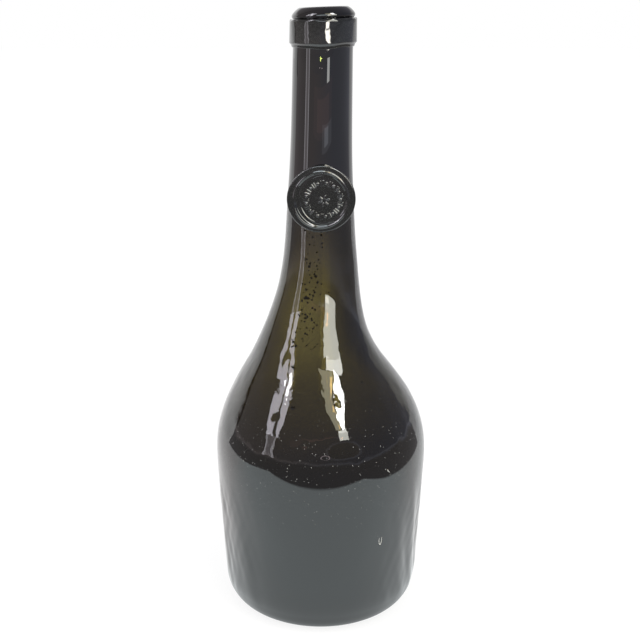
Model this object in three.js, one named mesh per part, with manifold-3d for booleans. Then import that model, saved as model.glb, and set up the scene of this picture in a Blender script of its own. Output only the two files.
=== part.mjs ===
// A hand-blown wine bottle in dark olive glass: a round body on a pushed-up base, a full shoulder
// that sweeps into a tall neck, a collar of glass laid round the mouth, and a stamped pad of glass
// on the front of the neck. Millimetres, +Z up. The origin is on the table under the middle of the
// base, and the pad faces -Y.

import * as THREE from "three";
import { mergeVertices } from "three/addons/utils/BufferGeometryUtils.js";
import Module from "manifold-3d";

const wasm = await Module();
wasm.setup();

// The base: the ring that the bottle stands on, the push-up inside it and the round heel outside it
const SIDE_RADIUS = 48.5; // just above the heel
const SIDE_SLOPE = 0.055; // outwards for each millimetre of rise
const HEEL_ROUND = 19.6;
const RING_WIDTH = 3.6; // worn flat
const PUSH_UP_HEIGHT = 24;
const PUSH_UP_CROWN = 11; // how far out the crown of the push-up stays level
const PUSH_UP_FLARE = 4; // how far in its side starts to turn down to the ring

// The body, the shoulder and the neck, in the order that they rise
const BELLY_HEIGHT = 80;
const BELLY_RADIUS = 51.85;
const SHOULDER_RISE = 44; // from the belly to the turn, where the full curve becomes hollow
const TURN_RADIUS = 34.6;
const TURN_SLOPE = 0.69; // inwards for each millimetre of rise
const SWEEP_RISE = 89; // from the turn to the root of the neck
const ROOT_SWELL = 1.45; // how much wider than its top the neck is at its root
const ROOT_SLOPE = 0.06;
const NECK_SLOPE = 0.012; // just below the collar
const NECK_LENGTH = 60; // from its root to the collar

// How far up its rise each curve keeps to the slope at its lower end, and down it at its upper end
const SIDE_HOLDS = [0.27, 0.23];
const SHOULDER_HOLDS = [0.35, 0.42];
const SWEEP_HOLDS = [0.285, 0.385];
const NECK_HOLDS = [0.31, 0.4];

// The glass: the walls and the bore that the neck is built round
const BORE_RADIUS = 9.4;
const NECK_WALL = 4.1;
const SHOULDER_WALL = 2; // blown thinnest
const BODY_WALL = 4.6;
const HEEL_WALL = 5.6;
const CROWN_WALL = 6.5; // over the push-up
const THIN_RISE = 26; // from the turn up to where the thin wall starts to grow

// The mouth: a collar laid round the neck, and the neck's own rim above it
const COLLAR_HEIGHT = 12;
const COLLAR_PROUD = 1.65;
const COLLAR_CHAMFER = 2;
const COLLAR_ROUND = 0.8;
const COLLAR_DROOP = 0.9; // how far its lower edge has run down at the front
const DROOP_ANGLE = 38; // to each side of the front, in degrees
const RIM_HEIGHT = 5.1;
const RIM_FLARE = 0.65;
const RIM_ROUND = 2.9;
const MOUTH_EASE = 0.35; // rounding of the bore's edge

// The pad: a gather of glass pressed on the neck and struck with a round stamp, a little off centre
const PAD_RADIUS = 15.35;
const PAD_BELOW_ROOT = 5; // from the root of the neck down to the middle of the pad
const PAD_PROUD = 3.3; // from the front of the neck to the crest of the pad's rim
const PAD_CREST_RADIUS = 13.1;
const PAD_EDGE_DROP = 2.3; // from the crest back to the widest line
const PAD_BACK = 11.5; // from the crest to where its back runs into the neck
const PAD_BACK_RADIUS = 12;
const STAMP_RADIUS = 11.4;
const STAMP_DEPTH = 1.5;
const STAMP_DRAFT = 0.4;
const STAMP_RIGHT = 0.9;
const STAMP_DOWN = 0.5;
const LINE_RADIUS = 9.8; // of the raised line round the beads
const LINE_WIDTH = 0.7;
const LINE_HEIGHT = 0.45;
const BEAD_COUNT = 20;
const BEAD_CIRCLE = 7.3; // radius of the circle that the beads stand on
const BEAD_RADIUS = 0.75;
const PETAL_COUNT = 6;
const PETAL_CIRCLE = 2;
const PETAL_LENGTH = 1.2; // half of it
const PETAL_WIDTH = 0.6; // half of it

// The scar that the glassmaker's iron left under the push-up
const SCAR_RADIUS = 11;
const SCAR_WIDTH = 4.2;
const SCAR_PROUD = 1.6;

// What the hand did: the shoulder bulges to the left, the neck leans right and the mouth is tilted
const SHOULDER_BULGE = 2.7;
const BULGE_ABOVE_TURN = 15;
const BULGE_SPREAD = 23;
const NECK_LEAN = 1.35; // at the mouth
const LEAN_BELOW_ROOT = 27; // from the root of the neck down to where the lean starts
const MOUTH_TILT = 2.1; // degrees, the right side higher
const TILT_RISE = 24; // the height over which the tilt grows

// Between pieces that are fused on the real bottle
const SEAT_GAP = 0.3;

// Steps round the bottle, the pad and the scar, and along each curve of the outside and the inside
const ROUND_STEPS = 56;
const PAD_STEPS = 36;
const SCAR_STEPS = [8, 28];
const GRAIN_STEPS = [8, 5];
const OUTSIDE_STEPS = { pushUp: 6, heel: 7, side: 4, shoulder: 9, sweep: 9, neck: 6, rim: 4 };
const INSIDE_STEPS = { floor: 7, heel: 4, side: 2, shoulder: 6, sweep: 7, neck: 2 };
const EDGE_STEPS = 4; // along each rounded edge of the collar and the pad

// Places that follow from the sizes
const RING_OUTER = SIDE_RADIUS - HEEL_ROUND;
const RING_INNER = RING_OUTER - RING_WIDTH;
const TURN_HEIGHT = BELLY_HEIGHT + SHOULDER_RISE;
const THIN_HEIGHT = TURN_HEIGHT + THIN_RISE;
const ROOT_HEIGHT = TURN_HEIGHT + SWEEP_RISE;
const COLLAR_BOTTOM = ROOT_HEIGHT + NECK_LENGTH;
const COLLAR_TOP = COLLAR_BOTTOM + COLLAR_HEIGHT;
const MOUTH_HEIGHT = COLLAR_TOP + RIM_HEIGHT;
const NECK_RADIUS = BORE_RADIUS + NECK_WALL;
const RIM_RADIUS = NECK_RADIUS + RIM_FLARE;
const PAD_HEIGHT = ROOT_HEIGHT - PAD_BELOW_ROOT;

const at = (radius, height) => new THREE.Vector2(radius, height);

// The points of a curve in a profile, the last one left to the curve that follows
function spread(curve, steps) {
  return curve.getPoints(steps).slice(0, -1);
}

// A curve between two heights that leaves its lower end and meets its upper end at their slopes
function rising(lower, lowerSlope, upper, upperSlope, holds) {
  const [start, stop] = holds.map((hold) => hold * (upper.y - lower.y));
  return new THREE.CubicBezierCurve(
    lower,
    at(lower.x - lowerSlope * start, lower.y + start),
    at(upper.x + upperSlope * stop, upper.y - stop),
    upper
  );
}

// The outside of the bottle, piece by piece from the crown of the push-up to the collar
const pushUp = new THREE.CubicBezierCurve(
  at(0, PUSH_UP_HEIGHT),
  at(PUSH_UP_CROWN, PUSH_UP_HEIGHT),
  at(RING_INNER - PUSH_UP_FLARE, PUSH_UP_HEIGHT / 2),
  at(RING_INNER, 0)
);
const heel = new THREE.EllipseCurve(
  RING_OUTER, HEEL_ROUND, HEEL_ROUND, HEEL_ROUND, -Math.PI / 2, 0
);
const overHeel = at(SIDE_RADIUS, HEEL_ROUND);
const belly = at(BELLY_RADIUS, BELLY_HEIGHT);
const turn = at(TURN_RADIUS, TURN_HEIGHT);
const root = at(NECK_RADIUS + ROOT_SWELL, ROOT_HEIGHT);
const underCollar = at(NECK_RADIUS, COLLAR_BOTTOM);
const side = rising(overHeel, -SIDE_SLOPE, belly, 0, SIDE_HOLDS);
const shoulder = rising(belly, 0, turn, TURN_SLOPE, SHOULDER_HOLDS);
const sweep = rising(turn, TURN_SLOPE, root, ROOT_SLOPE, SWEEP_HOLDS);
const neck = rising(root, ROOT_SLOPE, underCollar, NECK_SLOPE, NECK_HOLDS);
const rimRound = new THREE.EllipseCurve(
  RIM_RADIUS - RIM_ROUND, MOUTH_HEIGHT - RIM_ROUND, RIM_ROUND, RIM_ROUND, 0, Math.PI / 2
);

// The two stretches of the outside that another piece sits on
const underside = [...spread(pushUp, OUTSIDE_STEPS.pushUp), at(RING_INNER, 0)];
const neckOutside = [
  ...spread(sweep, OUTSIDE_STEPS.sweep),
  ...spread(neck, OUTSIDE_STEPS.neck),
  underCollar,
];

// The wall thins from the heel to the shoulder and grows again up to the neck
function wallAt(height) {
  const aboveHeel = THREE.MathUtils.smoothstep(height, 0, BELLY_HEIGHT);
  const aboveBelly = THREE.MathUtils.smoothstep(height, BELLY_HEIGHT, TURN_HEIGHT);
  const aboveShoulder = THREE.MathUtils.smoothstep(height, THIN_HEIGHT, ROOT_HEIGHT);
  return (
    HEEL_WALL +
    (BODY_WALL - HEEL_WALL) * aboveHeel +
    (SHOULDER_WALL - BODY_WALL) * aboveBelly +
    (NECK_WALL - SHOULDER_WALL) * aboveShoulder
  );
}

// The inside that lies one wall behind a curve of the outside, listed from the bottom
function lining(curve, steps) {
  const points = [];
  for (let step = 0; step < steps; step++) {
    const outside = curve.getPoint(step / steps);
    const along = curve.getTangent(step / steps);
    const wall = wallAt(outside.y);
    points.push(at(outside.x - along.y * wall, outside.y + along.x * wall));
  }
  return points;
}

// Rotation about the upright axis of a profile of points, radius and height, as one closed skin.
// A profile starts and ends on the axis, or comes back to its first point.
function turned(points, steps) {
  const geometry = new THREE.LatheGeometry(points, steps);
  geometry.rotateX(Math.PI / 2);
  return welded(geometry);
}

// One vertex at each place, and no triangle that has shrunk to a line on the axis
function welded(source) {
  const loose = source.index ? source.toNonIndexed() : source;
  loose.deleteAttribute("normal");
  loose.deleteAttribute("uv");
  const geometry = mergeVertices(loose, 1e-4);
  const corners = geometry.index.array;
  const kept = [];
  for (let i = 0; i < corners.length; i += 3) {
    const [a, b, c] = corners.slice(i, i + 3);
    if (a !== b && b !== c && c !== a) kept.push(a, b, c);
  }
  geometry.setIndex(kept);
  return geometry;
}

function toSolid(geometry) {
  const closed = welded(geometry);
  return new wasm.Manifold(
    new wasm.Mesh({
      numProp: 3,
      vertProperties: new Float32Array(closed.attributes.position.array),
      triVerts: new Uint32Array(closed.index.array),
    })
  );
}

function toGeometry(solid) {
  const mesh = solid.getMesh();
  const geometry = new THREE.BufferGeometry();
  geometry.setAttribute("position", new THREE.BufferAttribute(mesh.vertProperties.slice(), 3));
  geometry.setIndex([...mesh.triVerts]);
  return geometry;
}

// The bulge, the lean and the tilt, given alike to every piece, so that pieces that meet still do
function madeByHand(geometry) {
  const place = geometry.attributes.position;
  const leanStart = ROOT_HEIGHT - LEAN_BELOW_ROOT;
  const tilt = Math.tan(THREE.MathUtils.degToRad(MOUTH_TILT));
  for (let i = 0; i < place.count; i++) {
    const x = place.getX(i);
    const z = place.getZ(i);
    const fromBulge = (z - TURN_HEIGHT - BULGE_ABOVE_TURN) / BULGE_SPREAD;
    const bulge = SHOULDER_BULGE * Math.exp(-fromBulge * fromBulge);
    const up = Math.max(0, z - leanStart) / (MOUTH_HEIGHT - leanStart);
    const lean = NECK_LEAN * up * up * (2 - up);
    const tilted = THREE.MathUtils.smoothstep(z, COLLAR_TOP - TILT_RISE, COLLAR_TOP);
    place.setX(i, x - bulge + lean);
    place.setZ(i, z + x * tilt * tilted);
  }
  geometry.computeVertexNormals();
  return geometry;
}

// The blown bottle itself, one skin that runs up the outside, over the rim and down the inside
function bottleBody() {
  const floor = new THREE.CubicBezierCurve(
    at(0, PUSH_UP_HEIGHT + CROWN_WALL),
    at(PUSH_UP_CROWN + CROWN_WALL, PUSH_UP_HEIGHT + CROWN_WALL),
    at((RING_INNER + RING_OUTER) / 2, HEEL_WALL),
    at(RING_OUTER, HEEL_WALL)
  );
  const outside = [
    ...underside,
    ...spread(heel, OUTSIDE_STEPS.heel),
    ...spread(side, OUTSIDE_STEPS.side),
    ...spread(shoulder, OUTSIDE_STEPS.shoulder),
    ...neckOutside,
    at(NECK_RADIUS, COLLAR_TOP + SEAT_GAP),
    at(RIM_RADIUS, COLLAR_TOP + SEAT_GAP),
    ...rimRound.getPoints(OUTSIDE_STEPS.rim),
  ];
  const inside = [
    ...spread(floor, INSIDE_STEPS.floor),
    ...lining(heel, INSIDE_STEPS.heel),
    ...lining(side, INSIDE_STEPS.side),
    ...lining(shoulder, INSIDE_STEPS.shoulder),
    ...lining(sweep, INSIDE_STEPS.sweep),
    ...lining(neck, INSIDE_STEPS.neck),
    at(BORE_RADIUS, COLLAR_BOTTOM),
    at(BORE_RADIUS, MOUTH_HEIGHT - MOUTH_EASE),
    at(BORE_RADIUS + MOUTH_EASE, MOUTH_HEIGHT),
  ];
  return madeByHand(turned([...outside, ...inside.reverse()], ROUND_STEPS));
}

// The collar, a ring with a slack chamfer below and a rounded edge above
function lipBand() {
  const seat = NECK_RADIUS + SEAT_GAP;
  const outer = NECK_RADIUS + COLLAR_PROUD;
  const edge = new THREE.EllipseCurve(
    outer - COLLAR_ROUND, COLLAR_TOP - COLLAR_ROUND, COLLAR_ROUND, COLLAR_ROUND, 0, Math.PI / 2
  );
  const ring = turned(
    [
      at(seat, COLLAR_BOTTOM),
      at(outer, COLLAR_BOTTOM + COLLAR_CHAMFER),
      ...edge.getPoints(EDGE_STEPS),
      at(seat, COLLAR_TOP),
      at(seat, COLLAR_BOTTOM),
    ],
    ROUND_STEPS
  );
  const place = ring.attributes.position;
  for (let i = 0; i < place.count; i++) {
    const fromFront = Math.abs(Math.atan2(place.getX(i), -place.getY(i)));
    const share = Math.min(1, fromFront / THREE.MathUtils.degToRad(DROOP_ANGLE));
    const low = Math.max(0, 1 - (place.getZ(i) - COLLAR_BOTTOM) / COLLAR_CHAMFER);
    const run = COLLAR_DROOP * low * (1 + Math.cos(Math.PI * share)) / 2;
    place.setZ(i, place.getZ(i) - run);
  }
  return madeByHand(ring);
}

// The radius of the neck's outside at a height
function neckRadiusAt(height) {
  const upper = neckOutside.findIndex((point) => point.y > height);
  const [below, above] = [neckOutside[upper - 1], neckOutside[upper]];
  const share = (height - below.y) / (above.y - below.y);
  return THREE.MathUtils.lerp(below.x, above.x, share);
}

// The stamp as a solid: what it takes out of the pad. Its groove leaves a raised line standing.
function stamp(crest) {
  const field = crest - STAMP_DEPTH;
  const line = [
    at(LINE_RADIUS - LINE_WIDTH / 2, field),
    at(LINE_RADIUS, field + LINE_HEIGHT),
    at(LINE_RADIUS + LINE_WIDTH / 2, field),
  ];
  const wall = at(STAMP_RADIUS + STAMP_DRAFT, crest + STAMP_DEPTH);
  return turned([at(0, field), ...line, at(STAMP_RADIUS, field), wall, at(0, wall.y)], PAD_STEPS);
}

// A ring of round beads and a small rosette, standing on the stamped field
function ornament(crest) {
  const field = crest - STAMP_DEPTH;
  const grains = [];
  for (let i = 0; i < BEAD_COUNT; i++) {
    const bead = new THREE.SphereGeometry(BEAD_RADIUS, ...GRAIN_STEPS);
    bead.translate(BEAD_CIRCLE, 0, 0);
    grains.push(bead.rotateZ((2 * Math.PI * i) / BEAD_COUNT));
  }
  for (let i = 0; i < PETAL_COUNT; i++) {
    const petal = new THREE.SphereGeometry(1, ...GRAIN_STEPS);
    petal.scale(PETAL_LENGTH, PETAL_WIDTH, PETAL_WIDTH).translate(PETAL_CIRCLE, 0, 0);
    grains.push(petal.rotateZ((2 * Math.PI * i) / PETAL_COUNT));
  }
  return grains.map((grain) => grain.translate(0, 0, field));
}

// The pad is turned about its own axis, struck by the stamp, laid on the front of the neck and cut
// to fit it
function neckSeal() {
  const crest = neckRadiusAt(PAD_HEIGHT) + PAD_PROUD;
  const edge = new THREE.EllipseCurve(
    PAD_CREST_RADIUS, crest - PAD_EDGE_DROP, PAD_RADIUS - PAD_CREST_RADIUS, PAD_EDGE_DROP,
    0, Math.PI / 2
  );
  const back = new THREE.QuadraticBezierCurve(
    at(PAD_BACK_RADIUS, crest - PAD_BACK),
    at(PAD_RADIUS, crest - PAD_BACK / 2),
    at(PAD_RADIUS, crest - PAD_EDGE_DROP)
  );
  const face = crest - STAMP_DEPTH / 2;
  const brim = new THREE.QuadraticBezierCurve(
    at(PAD_CREST_RADIUS, crest), at(STAMP_RADIUS, crest), at(STAMP_RADIUS, face)
  );
  const blank = turned(
    [
      at(0, crest - PAD_BACK),
      ...spread(back, EDGE_STEPS),
      ...spread(edge, EDGE_STEPS),
      ...brim.getPoints(EDGE_STEPS),
      at(0, face),
    ],
    PAD_STEPS
  );
  const struck = [stamp(crest), ...ornament(crest)];
  struck.forEach((geometry) => geometry.translate(STAMP_RIGHT, -STAMP_DOWN, 0));
  let pad = toSolid(blank).subtract(toSolid(struck[0]));
  for (const grain of struck.slice(1)) pad = pad.add(toSolid(grain));

  const laid = toGeometry(pad).rotateX(Math.PI / 2).translate(0, 0, PAD_HEIGHT);
  const clear = neckOutside.map((point) => at(point.x + SEAT_GAP, point.y));
  const room = turned([at(0, clear[0].y), ...clear, at(0, clear.at(-1).y)], ROUND_STEPS);
  return madeByHand(toGeometry(toSolid(laid).subtract(toSolid(room))));
}

// The height of the push-up's underside at a radius
function pushUpHeightAt(radius) {
  const outer = underside.findIndex((point) => point.x > radius);
  const [near, far] = [underside[outer - 1], underside[outer]];
  return THREE.MathUtils.lerp(near.y, far.y, (radius - near.x) / (far.x - near.x));
}

// The scar, a low rounded ring that hangs under the push-up and is cut to fit it
function pontilScar() {
  const ring = new THREE.TorusGeometry(SCAR_RADIUS, SCAR_WIDTH / 2, ...SCAR_STEPS);
  ring.scale(1, 1, (2 * SCAR_PROUD) / SCAR_WIDTH);
  ring.translate(0, 0, pushUpHeightAt(SCAR_RADIUS) - SEAT_GAP);
  const clear = underside.map((point) => at(point.x, point.y - SEAT_GAP));
  const above = PUSH_UP_HEIGHT + CROWN_WALL;
  const glass = turned([...clear, at(RING_INNER, above), at(0, above)], ROUND_STEPS);
  return toGeometry(toSolid(ring).subtract(toSolid(glass)));
}

function sheen(color) {
  return new THREE.MeshStandardMaterial({ color, roughness: 0.06, metalness: 0 });
}

const bottle = new THREE.Group();

function put(name, geometry, material) {
  const mesh = new THREE.Mesh(geometry, material);
  mesh.name = name;
  bottle.add(mesh);
}

put("bottle_body", bottleBody(), sheen(0x2f2d1e));
put("lip_band", lipBand(), sheen(0x262620));
put("neck_seal", neckSeal(), sheen(0x22241f));
put("pontil_scar", pontilScar(), sheen(0x34321f));

export default bottle;
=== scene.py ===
# %% [markdown]
# A hand-blown wine bottle in dark olive glass
#
# The bottle was blown free by hand. It has a round body on a pushed-up base, a full shoulder that
# sweeps into a tall neck, a collar of glass laid round the mouth and a stamped pad of glass on the
# neck. This lesson builds it in Blender around a fixed frame, which gives the place and the size of
# every piece. What makes such a bottle look real is its glass: thick and nearly black in the neck
# and the base, thin and olive in the shoulder, and never quite true, so that each reflection in it
# has ragged edges.

# %% Load the frame
import math

import bpy
import numpy as np
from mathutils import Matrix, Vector


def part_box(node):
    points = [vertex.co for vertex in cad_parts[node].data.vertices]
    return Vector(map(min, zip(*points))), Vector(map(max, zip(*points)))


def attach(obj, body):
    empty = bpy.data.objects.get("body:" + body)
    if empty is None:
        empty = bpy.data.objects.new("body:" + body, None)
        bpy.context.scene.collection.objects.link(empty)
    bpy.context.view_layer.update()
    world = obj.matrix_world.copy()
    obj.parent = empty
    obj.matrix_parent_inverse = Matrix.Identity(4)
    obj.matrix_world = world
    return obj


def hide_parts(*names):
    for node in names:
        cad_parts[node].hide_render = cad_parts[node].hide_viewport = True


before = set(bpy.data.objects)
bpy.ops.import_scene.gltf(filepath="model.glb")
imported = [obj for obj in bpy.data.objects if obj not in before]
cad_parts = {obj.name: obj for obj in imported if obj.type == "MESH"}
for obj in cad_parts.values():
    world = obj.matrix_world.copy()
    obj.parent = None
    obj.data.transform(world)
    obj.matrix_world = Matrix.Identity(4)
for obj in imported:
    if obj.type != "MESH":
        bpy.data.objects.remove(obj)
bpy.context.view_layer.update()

# %% [markdown]
# Sizes
#
# The driving sizes of the bottle come first, all in metres and degrees. They are those of the frame.

# %% Sizes of the bottle
MM = 0.001

SIDE_RADIUS = 48.5 * MM
SIDE_SLOPE = 0.055
HEEL_ROUND = 19.6 * MM
HEEL_FULLNESS = 1.62  # 1 is a true quarter of a circle
RING_WIDTH = 3.6 * MM
PUSH_UP_HEIGHT = 24 * MM
PUSH_UP_CROWN = 11 * MM
PUSH_UP_FLARE = 4 * MM

BELLY_HEIGHT = 80 * MM
BELLY_RADIUS = 51.85 * MM
TURN_HEIGHT = 124 * MM
TURN_RADIUS = 34.6 * MM
TURN_SLOPE = 0.69
ROOT_HEIGHT = 213 * MM
ROOT_SWELL = 1.45 * MM
ROOT_SLOPE = 0.06
NECK_SLOPE = 0.012
NECK_RADIUS = 13.5 * MM
COLLAR_BOTTOM = 273 * MM
COLLAR_TOP = 285 * MM
MOUTH_HEIGHT = 290.1 * MM
RIM_RADIUS = 14.15 * MM
RIM_TOP_RADIUS = 10.6 * MM
BORE_RADIUS = 9.4 * MM

HEEL_WALL = 5.6 * MM
BODY_WALL = 4.6 * MM
SHOULDER_WALL = 2 * MM
NECK_WALL = 4.1 * MM
CROWN_WALL = 6.5 * MM
THIN_HEIGHT = 150 * MM

RING_OUTER = SIDE_RADIUS - HEEL_ROUND
RING_INNER = RING_OUTER - RING_WIDTH

# %% [markdown]
# Small helpers
#
# Operators act on all that is selected, so each step starts with nothing selected, by pick(), or
# picks what it needs. A finished piece has its place in its mesh, with its object at the origin.


# %% Helpers for objects
def pick(*objects):
    """Selects these objects and nothing else; the first is the active one."""
    bpy.ops.object.select_all(action="DESELECT")
    for obj in objects:
        obj.select_set(True)
    if objects:
        bpy.context.view_layer.objects.active = objects[0]


def bake_place(obj):
    """Moves an object's place, turn and scale into its mesh."""
    pick(obj)
    bpy.ops.object.transform_apply(location=True, rotation=True, scale=True)


def joined(objects, name):
    """Makes one object of several."""
    pick(*objects)
    if len(objects) > 1:
        bpy.ops.object.join()
    whole = bpy.context.object
    whole.name = name
    whole.data.name = name
    return whole


def places(obj):
    """The vertices of a mesh as an array with a row for each."""
    found = np.empty(len(obj.data.vertices) * 3)
    obj.data.vertices.foreach_get("co", found)
    return found.reshape(-1, 3)


def move_to(obj, moved):
    """Gives a mesh new places for its vertices."""
    obj.data.vertices.foreach_set("co", moved.ravel())
    obj.data.update()


def polar(spots):
    """The direction of each spot round the axis, and how far from the axis it lies."""
    return np.arctan2(spots[:, 1], spots[:, 0]), np.hypot(spots[:, 0], spots[:, 1])


# %% [markdown]
# The profile
#
# A free-blown bottle is a body of revolution that the hand has left a little out of true. Its
# profile is drawn as a chain of strokes, each a short Bezier curve between two points where the
# slope of the glass is known, and each with as many steps as its length needs.


# %% Strokes of the profile
def stroke(points, steps):
    """One Bezier stroke through (radius, height) points: start, two handles and end, as a mesh."""
    start, leave, arrive, end = [Vector((radius, 0, height)) for radius, height in points]
    pick()
    bpy.ops.curve.primitive_bezier_curve_add()
    curve = bpy.context.object
    curve.data.resolution_u = steps
    first, last = curve.data.splines[0].bezier_points
    for knot in (first, last):
        knot.handle_left_type = "FREE"
        knot.handle_right_type = "FREE"
    first.co, first.handle_left, first.handle_right = start, start, leave
    last.co, last.handle_left, last.handle_right = end, arrive, end
    bpy.ops.object.convert(target="MESH")
    return bpy.context.object


def straight(start, end, steps):
    """A straight stroke."""
    thirds = [tuple(a + (b - a) * share for a, b in zip(start, end)) for share in (1 / 3, 2 / 3)]
    return stroke([start, *thirds, end], steps)


def quarter_points(centre, radius, start, end):
    """A round stroke about a centre, between two directions up to a right angle apart."""
    hold = 4 / 3 * math.tan((end - start) / 4) * radius
    ends = []
    for angle, way in ((start, 1), (end, -1)):
        point = (centre[0] + radius * math.cos(angle), centre[1] + radius * math.sin(angle))
        handle = (
            point[0] - way * hold * math.sin(angle),
            point[1] + way * hold * math.cos(angle),
        )
        ends.append((point, handle))
    (first, leave), (last, arrive) = ends
    return [first, leave, arrive, last]


def quarter(centre, radius, start, end, steps):
    return stroke(quarter_points(centre, radius, start, end), steps)


def rising_points(lower, lower_slope, upper, upper_slope, holds):
    """A stroke that leaves its lower end and meets its upper end at their slopes."""
    rise = upper[1] - lower[1]
    start, stop = holds[0] * rise, holds[1] * rise
    leave = (lower[0] - lower_slope * start, lower[1] + start)
    arrive = (upper[0] + upper_slope * stop, upper[1] - stop)
    return [lower, leave, arrive, upper]


SIDE = rising_points(
    (SIDE_RADIUS, HEEL_ROUND), -SIDE_SLOPE, (BELLY_RADIUS, BELLY_HEIGHT), 0, (0.27, 0.23)
)
SHOULDER = rising_points(
    (BELLY_RADIUS, BELLY_HEIGHT), 0, (TURN_RADIUS, TURN_HEIGHT), TURN_SLOPE, (0.35, 0.42)
)
SWEEP = rising_points(
    (TURN_RADIUS, TURN_HEIGHT), TURN_SLOPE,
    (NECK_RADIUS + ROOT_SWELL, ROOT_HEIGHT), ROOT_SLOPE, (0.285, 0.385),
)
NECK = rising_points(
    (NECK_RADIUS + ROOT_SWELL, ROOT_HEIGHT), ROOT_SLOPE,
    (NECK_RADIUS, COLLAR_BOTTOM), NECK_SLOPE, (0.31, 0.4),
)
HEEL = quarter_points((RING_OUTER, HEEL_ROUND), HEEL_ROUND, -math.pi / 2, 0)
heel_hold = HEEL[3][1] - HEEL[2][1]
HEEL[2] = (SIDE_RADIUS - SIDE_SLOPE * heel_hold, HEEL_ROUND - heel_hold)  # meets the side's slope
HEEL[1] = (RING_OUTER + HEEL_FULLNESS * heel_hold, 0)


# %% [markdown]
# The inside of the glass
#
# The wall is thickest at the heel, thinnest in the shoulder, where the glass was stretched most, and
# thick again in the neck. The inner stroke is the outer one moved in by the wall, square to it.


# %% Wall and lining
def smooth_step(value, low, high):
    share = np.clip((value - low) / (high - low), 0, 1)
    return share * share * (3 - 2 * share)


def wall_at(height):
    above_heel = smooth_step(height, 0, BELLY_HEIGHT)
    above_belly = smooth_step(height, BELLY_HEIGHT, TURN_HEIGHT)
    above_shoulder = smooth_step(height, THIN_HEIGHT, ROOT_HEIGHT)
    wall = HEEL_WALL + (BODY_WALL - HEEL_WALL) * above_heel
    wall += (SHOULDER_WALL - BODY_WALL) * above_belly
    return wall + (NECK_WALL - SHOULDER_WALL) * above_shoulder


def stroke_at(points, share):
    """The spot at a share of the way along a stroke, and the direction there."""
    p = np.array(points)
    rest = 1 - share
    spot = rest**3 * p[0] + 3 * rest**2 * share * p[1] + 3 * rest * share**2 * p[2] + share**3 * p[3]
    along = rest**2 * (p[1] - p[0]) + 2 * rest * share * (p[2] - p[1]) + share**2 * (p[3] - p[2])
    return spot, along / np.linalg.norm(along)


def up_the_outside(last):
    """Spots and directions up the outside, 40 to a stroke; last is the share where each stops."""
    strokes = (HEEL, SIDE, SHOULDER, SWEEP, NECK)
    return [stroke_at(points, share) for points in strokes for share in np.linspace(0, last, 40)]


def moved_in(points, share):
    """Where the inside lies behind a stroke of the outside, at a share of the way along it."""
    spot, along = stroke_at(points, share)
    wall = wall_at(spot[1])
    return float(spot[0] - along[1] * wall), float(spot[1] + along[0] * wall)


def lining(points, steps):
    """The stroke of the inside that lies behind a stroke of the outside."""
    inner = stroke(points, steps)
    spots = places(inner)
    for i in range(steps + 1):
        spots[i, 0], spots[i, 2] = moved_in(points, i / steps)
    move_to(inner, spots)
    return inner


# %% [markdown]
# One turn of the profile
#
# All strokes are joined, the doubled ends are merged, and the profile is spun once round the upright
# axis in edit mode. The wall is one closed skin: up the outside, over the rim and down the inside.


# %% Spin a profile
def spun(strokes, name, steps):
    shape = joined(strokes, name)
    bpy.ops.object.mode_set(mode="EDIT")
    bpy.ops.mesh.select_all(action="SELECT")
    bpy.ops.mesh.remove_doubles(threshold=0.02 * MM)
    bpy.ops.mesh.spin(
        steps=steps, angle=2 * math.pi, center=(0, 0, 0), axis=(0, 0, 1), dupli=False
    )
    bpy.ops.mesh.select_all(action="SELECT")
    bpy.ops.mesh.remove_doubles(threshold=0.002 * MM)
    bpy.ops.mesh.normals_make_consistent(inside=False)
    bpy.ops.mesh.select_all(action="DESELECT")
    bpy.ops.mesh.select_non_manifold()
    bpy.ops.object.mode_set(mode="OBJECT")
    print(name, "open edges:", sum(edge.select for edge in shape.data.edges))
    bpy.ops.object.shade_smooth()
    return shape


# %% The bottle's strokes
ROUND_STEPS = 270
LEDGE_HEIGHT = COLLAR_TOP + 0.3 * MM
MOUTH_EASE = 0.35 * MM
RIM_LOW_ROUND = 1.1 * MM

underside = stroke(
    [
        (0, PUSH_UP_HEIGHT),
        (PUSH_UP_CROWN, PUSH_UP_HEIGHT),
        (RING_INNER - PUSH_UP_FLARE, PUSH_UP_HEIGHT / 2),
        (RING_INNER, 0),
    ],
    14,
)
ring = straight((RING_INNER, 0), (RING_OUTER, 0), 2)
heel = stroke(HEEL, 20)
side = stroke(SIDE, 46)
shoulder = stroke(SHOULDER, 60)
sweep = stroke(SWEEP, 110)
neck = stroke(NECK, 24)
under_collar = straight(NECK[3], (NECK_RADIUS, LEDGE_HEIGHT), 1)
ledge = straight((NECK_RADIUS, LEDGE_HEIGHT), (RIM_RADIUS - RIM_LOW_ROUND, LEDGE_HEIGHT), 1)
rim_low = quarter(
    (RIM_RADIUS - RIM_LOW_ROUND, LEDGE_HEIGHT + RIM_LOW_ROUND), RIM_LOW_ROUND, -math.pi / 2, 0, 4
)
rim_foot = (RIM_RADIUS, LEDGE_HEIGHT + RIM_LOW_ROUND)
rim_side = straight(rim_foot, (RIM_RADIUS, rim_foot[1] + 0.2 * MM), 1)
rim = stroke(
    [
        (RIM_RADIUS, rim_foot[1] + 0.2 * MM),
        (RIM_RADIUS, rim_foot[1] + 1.1 * MM),
        (RIM_TOP_RADIUS + 1.3 * MM, MOUTH_HEIGHT - 0.3 * MM),
        (RIM_TOP_RADIUS, MOUTH_HEIGHT),
    ],
    10,
)
mouth_top = straight((RIM_TOP_RADIUS, MOUTH_HEIGHT), (BORE_RADIUS + MOUTH_EASE, MOUTH_HEIGHT), 1)
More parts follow.
